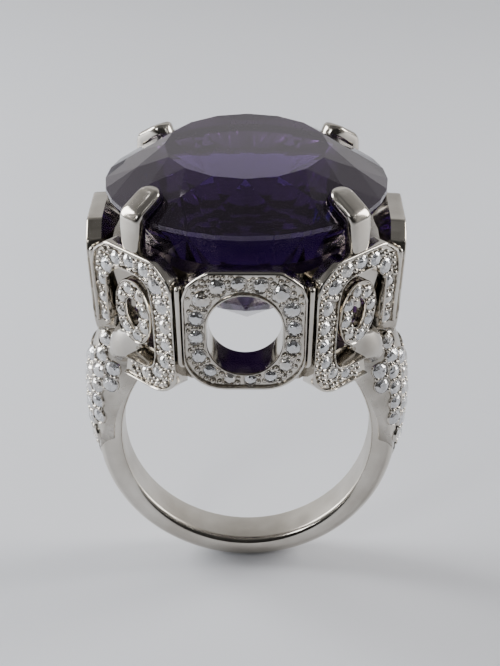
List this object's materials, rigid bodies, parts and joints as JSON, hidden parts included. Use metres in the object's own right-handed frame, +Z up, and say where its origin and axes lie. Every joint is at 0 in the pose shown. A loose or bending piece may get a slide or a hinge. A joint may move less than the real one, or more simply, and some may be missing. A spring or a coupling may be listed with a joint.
{
  "type": "cocktail ring",
  "caption": "Large round violet faceted stone in four claws above an eight-sided basket of pave-set cushion medallions, on a plain D-section band with domed pave shoulders.",
  "frame": {"origin": "centre of the finger hole, in the middle of the band's width", "axes": "+Z up from the finger through the stone's table, +Y along the finger, +X across the finger towards one shoulder"},
  "size_m": [0.0224, 0.0202, 0.0317],
  "materials": {
    "white_gold": "high polish, rhodium plated white gold",
    "diamond": "faceted and polished",
    "amethyst": "faceted and polished"
  },
  "bodies": {
    "root": {"shank": "white_gold", "shoulder_left": "white_gold", "shoulder_right": "white_gold", "base_rail": "white_gold", "bearing_ring": "white_gold", "medallion_front": "white_gold", "medallion_front_right": "white_gold", "medallion_right": "white_gold", "medallion_back_right": "white_gold", "medallion_back": "white_gold", "medallion_back_left": "white_gold", "medallion_left": "white_gold", "medallion_front_left": "white_gold", "scroll_front_right": "white_gold", "scroll_back_right": "white_gold", "scroll_back_left": "white_gold", "scroll_front_left": "white_gold", "halo_front_right": "white_gold", "halo_back_right": "white_gold", "halo_back_left": "white_gold", "halo_front_left": "white_gold", "divider_front_right": "white_gold", "divider_right_front": "white_gold", "divider_right_back": "white_gold", "divider_back_right": "white_gold", "divider_back_left": "white_gold", "divider_left_back": "white_gold", "divider_left_front": "white_gold", "divider_front_left": "white_gold", "claw_front_right": "white_gold", "claw_back_right": "white_gold", "claw_back_left": "white_gold", "claw_front_left": "white_gold", "amethyst": "amethyst", "diamonds_front": "diamond", "diamonds_front_right": "diamond", "diamonds_right": "diamond", "diamonds_back_right": "diamond", "diamonds_back": "diamond", "diamonds_back_left": "diamond", "diamonds_left": "diamond", "diamonds_front_left": "diamond", "halo_diamonds_front_right": "diamond", "halo_diamonds_back_right": "diamond", "halo_diamonds_back_left": "diamond", "halo_diamonds_front_left": "diamond", "shoulder_diamonds_left": "diamond", "shoulder_diamonds_right": "diamond"}
  },
  "joints": []
}
